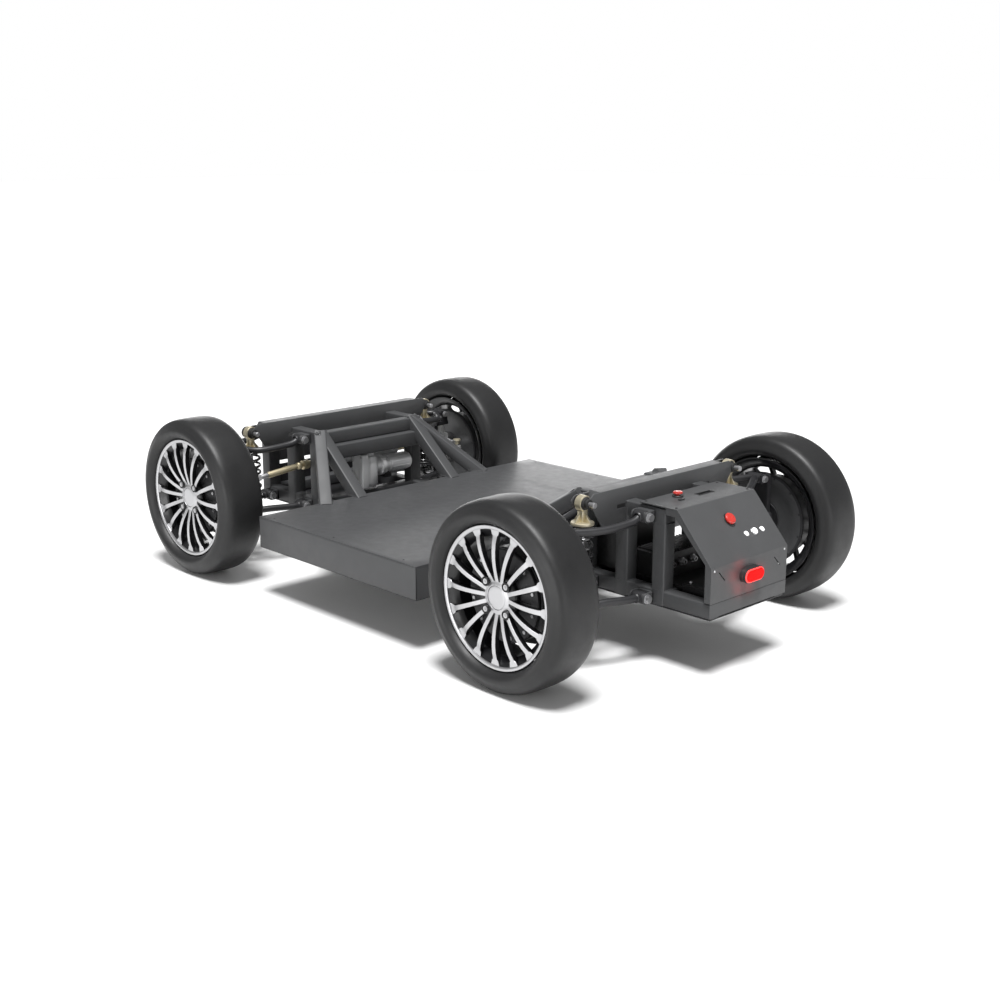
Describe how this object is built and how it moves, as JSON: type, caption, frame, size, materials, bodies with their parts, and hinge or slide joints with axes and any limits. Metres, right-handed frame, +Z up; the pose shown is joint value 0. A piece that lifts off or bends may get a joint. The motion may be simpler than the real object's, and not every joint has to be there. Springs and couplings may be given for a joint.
{
  "type": "four wheel robot chassis",
  "caption": "Low electric drive-by-wire chassis: flat deck tray between two frames, double wishbones with coil dampers, steered front wheels, in-wheel motors and a sloped rear console.",
  "frame": {"origin": "centre of the object's box on the floor, 46.5 mm behind the middle of the wheelbase", "axes": "+X forward, towards the steered axle; +Y to the left; +Z up"},
  "size_m": [1.967, 1.244, 0.49],
  "materials": {
    "tube_paint": "textured dark grey powder coat on welded tube",
    "frame_paint": "textured dark grey powder coat",
    "cover_paint": "fine-textured charcoal powder coat",
    "rubber": "matt black rubber",
    "rim_silver": "machined silver face",
    "motor_black": "satin black",
    "cast_grey": "bead-blasted cast grey",
    "zinc_gold": "yellow zinc plated steel",
    "steel": "bright zinc plated steel",
    "arm_black": "satin black powder coat",
    "red_plastic": "glossy red",
    "red_lens": "lit translucent red",
    "white_button": "glossy white",
    "pack_grey": "matt dark grey case"
  },
  "bodies": {
    "chassis": {"deck_tray": "frame_paint", "deck_cover": "cover_paint", "battery_pack": "pack_grey", "front_frame": "tube_paint", "rear_frame": "tube_paint", "front_beam": "cover_paint", "rear_beam": "cover_paint", "console_shell": "cover_paint", "estop_base": "cast_grey", "tail_lamp": "red_lens", "motor_controller": "pack_grey", "steering_unit": "cast_grey", "front_left_damper_eye": "zinc_gold", "front_left_spring": "steel", "front_right_damper_eye": "zinc_gold", "front_right_spring": "steel", "rear_left_damper_eye": "zinc_gold", "rear_left_spring": "steel", "rear_right_damper_eye": "zinc_gold", "rear_right_spring": "steel"},
    "front_left_lower_arm": {"front_left_lower_arm": "arm_black"},
    "front_left_upper_arm": {"front_left_upper_arm": "arm_black"},
    "front_left_damper_tube": {"front_left_damper_tube": "steel"},
    "front_left_carrier": {"front_left_carrier": "cast_grey"},
    "front_left_knuckle": {"front_left_knuckle": "cast_grey", "front_left_motor_stator": "steel"},
    "front_left_wheel": {"front_left_tyre": "rubber", "front_left_rim": "rim_silver", "front_left_motor_shell": "motor_black"},
    "front_right_lower_arm": {"front_right_lower_arm": "arm_black"},
    "front_right_upper_arm": {"front_right_upper_arm": "arm_black"},
    "front_right_damper_tube": {"front_right_damper_tube": "steel"},
    "front_right_carrier": {"front_right_carrier": "cast_grey"},
    "front_right_knuckle": {"front_right_knuckle": "cast_grey", "front_right_motor_stator": "steel"},
    "front_right_wheel": {"front_right_tyre": "rubber", "front_right_rim": "rim_silver", "front_right_motor_shell": "motor_black"},
    "rear_left_lower_arm": {"rear_left_lower_arm": "arm_black"},
    "rear_left_upper_arm": {"rear_left_upper_arm": "arm_black"},
    "rear_left_damper_tube": {"rear_left_damper_tube": "steel"},
    "rear_left_carrier": {"rear_left_carrier": "cast_grey", "rear_left_motor_stator": "steel"},
    "rear_left_wheel": {"rear_left_tyre": "rubber", "rear_left_rim": "rim_silver", "rear_left_motor_shell": "motor_black"},
    "rear_right_lower_arm": {"rear_right_lower_arm": "arm_black"},
    "rear_right_upper_arm": {"rear_right_upper_arm": "arm_black"},
    "rear_right_damper_tube": {"rear_right_damper_tube": "steel"},
    "rear_right_carrier": {"rear_right_carrier": "cast_grey", "rear_right_motor_stator": "steel"},
    "rear_right_wheel": {"rear_right_tyre": "rubber", "rear_right_rim": "rim_silver", "rear_right_motor_shell": "motor_black"},
    "steering_rack": {"steering_rack": "steel"},
    "left_tie_rod": {"left_tie_rod": "zinc_gold"},
    "right_tie_rod": {"right_tie_rod": "zinc_gold"},
    "estop_cap": {"estop_cap": "red_plastic"},
    "stop_knob": {"stop_knob": "red_plastic"},
    "power_button": {"power_button": "white_button"}
  },
  "joints": [
    {"name": "front_left_suspension", "type": "hinge", "parent": "chassis", "child": "front_left_lower_arm", "pos_m": [0.7385, 0.24, 0.178], "axis": [1, 0, 0], "range_deg": [-10, 10], "stiffness_Nm_per_rad": 650, "springref_deg": -7.92},
    {"name": "front_left_upper_pivot", "type": "hinge", "parent": "chassis", "child": "front_left_upper_arm", "pos_m": [0.7385, 0.24, 0.395], "axis": [1, 0, 0], "range_deg": [-11, 11]},
    {"name": "front_left_carrier_pivot", "type": "hinge", "parent": "front_left_lower_arm", "child": "front_left_carrier", "pos_m": [0.7385, 0.445, 0.158], "axis": [1, 0, 0], "range_deg": [-11, 11]},
    {"name": "front_left_damper_stroke", "type": "slide", "parent": "chassis", "child": "front_left_damper_tube", "axis": [0, 0, 1], "range_m": [-0.02381, 0.02381], "deforming": ["front_left_spring"]},
    {"name": "front_left_steer", "type": "hinge", "parent": "front_left_carrier", "child": "front_left_knuckle", "pos_m": [0.7385, 0.445, 0.245], "axis": [0, 0, 1], "range_deg": [-25, 25]},
    {"name": "front_left_wheel_spin", "type": "hinge", "parent": "front_left_knuckle", "child": "front_left_wheel", "pos_m": [0.7385, 0.545, 0.245], "axis": [0, 1, 0], "continuous": true},
    {"name": "front_right_suspension", "type": "hinge", "parent": "chassis", "child": "front_right_lower_arm", "pos_m": [0.7385, -0.24, 0.178], "axis": [-1, 0, 0], "range_deg": [-10, 10], "stiffness_Nm_per_rad": 650, "springref_deg": -7.92},
    {"name": "front_right_upper_pivot", "type": "hinge", "parent": "chassis", "child": "front_right_upper_arm", "pos_m": [0.7385, -0.24, 0.395], "axis": [-1, 0, 0], "range_deg": [-11, 11]},
    {"name": "front_right_carrier_pivot", "type": "hinge", "parent": "front_right_lower_arm", "child": "front_right_carrier", "pos_m": [0.7385, -0.445, 0.158], "axis": [-1, 0, 0], "range_deg": [-11, 11]},
    {"name": "front_right_damper_stroke", "type": "slide", "parent": "chassis", "child": "front_right_damper_tube", "axis": [0, 0, 1], "range_m": [-0.02381, 0.02381], "deforming": ["front_right_spring"]},
    {"name": "front_right_steer", "type": "hinge", "parent": "front_right_carrier", "child": "front_right_knuckle", "pos_m": [0.7385, -0.445, 0.245], "axis": [0, 0, 1], "range_deg": [-25, 25]},
    {"name": "front_right_wheel_spin", "type": "hinge", "parent": "front_right_knuckle", "child": "front_right_wheel", "pos_m": [0.7385, -0.545, 0.245], "axis": [0, 1, 0], "continuous": true},
    {"name": "rear_left_suspension", "type": "hinge", "parent": "chassis", "child": "rear_left_lower_arm", "pos_m": [-0.6455, 0.18, 0.178], "axis": [1, 0, 0], "range_deg": [-10, 8], "stiffness_Nm_per_rad": 1100, "springref_deg": -6.77},
    {"name": "rear_left_upper_pivot", "type": "hinge", "parent": "chassis", "child": "rear_left_upper_arm", "pos_m": [-0.6455, 0.18, 0.395], "axis": [1, 0, 0], "range_deg": [-11, 9]},
    {"name": "rear_left_carrier_pivot", "type": "hinge", "parent": "rear_left_lower_arm", "child": "rear_left_carrier", "pos_m": [-0.6455, 0.445, 0.158], "axis": [1, 0, 0], "range_deg": [-9, 11]},
    {"name": "rear_left_damper_stroke", "type": "slide", "parent": "chassis", "child": "rear_left_damper_tube", "axis": [0, 0, 1], "range_m": [-0.02294, 0.01877], "deforming": ["rear_left_spring"]},
    {"name": "rear_left_wheel_spin", "type": "hinge", "parent": "rear_left_carrier", "child": "rear_left_wheel", "pos_m": [-0.6455, 0.545, 0.245], "axis": [0, 1, 0], "continuous": true},
    {"name": "rear_right_suspension", "type": "hinge", "parent": "chassis", "child": "rear_right_lower_arm", "pos_m": [-0.6455, -0.18, 0.178], "axis": [-1, 0, 0], "range_deg": [-10, 8], "stiffness_Nm_per_rad": 1100, "springref_deg": -6.77},
    {"name": "rear_right_upper_pivot", "type": "hinge", "parent": "chassis", "child": "rear_right_upper_arm", "pos_m": [-0.6455, -0.18, 0.395], "axis": [-1, 0, 0], "range_deg": [-11, 9]},
    {"name": "rear_right_carrier_pivot", "type": "hinge", "parent": "rear_right_lower_arm", "child": "rear_right_carrier", "pos_m": [-0.6455, -0.445, 0.158], "axis": [-1, 0, 0], "range_deg": [-9, 11]},
    {"name": "rear_right_damper_stroke", "type": "slide", "parent": "chassis", "child": "rear_right_damper_tube", "axis": [0, 0, 1], "range_m": [-0.02294, 0.01877], "deforming": ["rear_right_spring"]},
    {"name": "rear_right_wheel_spin", "type": "hinge", "parent": "rear_right_carrier", "child": "rear_right_wheel", "pos_m": [-0.6455, -0.545, 0.245], "axis": [0, 1, 0], "continuous": true},
    {"name": "steering_rack_slide", "type": "slide", "parent": "chassis", "child": "steering_rack", "axis": [0, 1, 0], "range_m": [-0.041, 0.041]},
    {"name": "left_tie_rod_pivot", "type": "hinge", "parent": "steering_rack", "child": "left_tie_rod", "pos_m": [0.6465, 0.24, 0.305], "axis": [1, 0, 0], "range_deg": [-11, 11]},
    {"name": "right_tie_rod_pivot", "type": "hinge", "parent": "steering_rack", "child": "right_tie_rod", "pos_m": [0.6465, -0.24, 0.305], "axis": [-1, 0, 0], "range_deg": [-11, 11]},
    {"name": "estop_press", "type": "slide", "parent": "chassis", "child": "estop_cap", "axis": [0, 0, -1], "range_m": [0, 0.003], "stiffness_N_per_m": 900},
    {"name": "stop_knob_press", "type": "slide", "parent": "chassis", "child": "stop_knob", "axis": [0.7519, 0, -0.6593], "range_m": [0, 0.003], "stiffness_N_per_m": 700},
    {"name": "power_button_press", "type": "slide", "parent": "chassis", "child": "power_button", "axis": [0.7519, 0, -0.6593], "range_m": [0, 0.002], "stiffness_N_per_m": 600}
  ],
  "couplings": [
    {"joint": "front_left_upper_pivot", "follows": "front_left_suspension", "ratio": 1},
    {"joint": "front_left_carrier_pivot", "follows": "front_left_suspension", "ratio": -1},
    {"joint": "front_left_damper_stroke", "follows": "front_left_suspension", "m_per_rad": 0.124},
    {"joint": "front_right_upper_pivot", "follows": "front_right_suspension", "ratio": 1},
    {"joint": "front_right_carrier_pivot", "follows": "front_right_suspension", "ratio": -1},
    {"joint": "front_right_damper_stroke", "follows": "front_right_suspension", "m_per_rad": 0.124},
    {"joint": "rear_left_upper_pivot", "follows": "rear_left_suspension", "ratio": 1},
    {"joint": "rear_left_carrier_pivot", "follows": "rear_left_suspension", "ratio": -1},
    {"joint": "rear_left_damper_stroke", "follows": "rear_left_suspension", "m_per_rad": 0.1195},
    {"joint": "rear_right_upper_pivot", "follows": "rear_right_suspension", "ratio": 1},
    {"joint": "rear_right_carrier_pivot", "follows": "rear_right_suspension", "ratio": -1},
    {"joint": "rear_right_damper_stroke", "follows": "rear_right_suspension", "m_per_rad": 0.1195},
    {"joint": "front_right_steer", "follows": "front_left_steer", "ratio": 1},
    {"joint": "steering_rack_slide", "follows": "front_left_steer", "m_per_rad": -0.092},
    {"joint": "left_tie_rod_pivot", "follows": "front_left_suspension", "ratio": 1},
    {"joint": "right_tie_rod_pivot", "follows": "front_right_suspension", "ratio": 1}
  ]
}
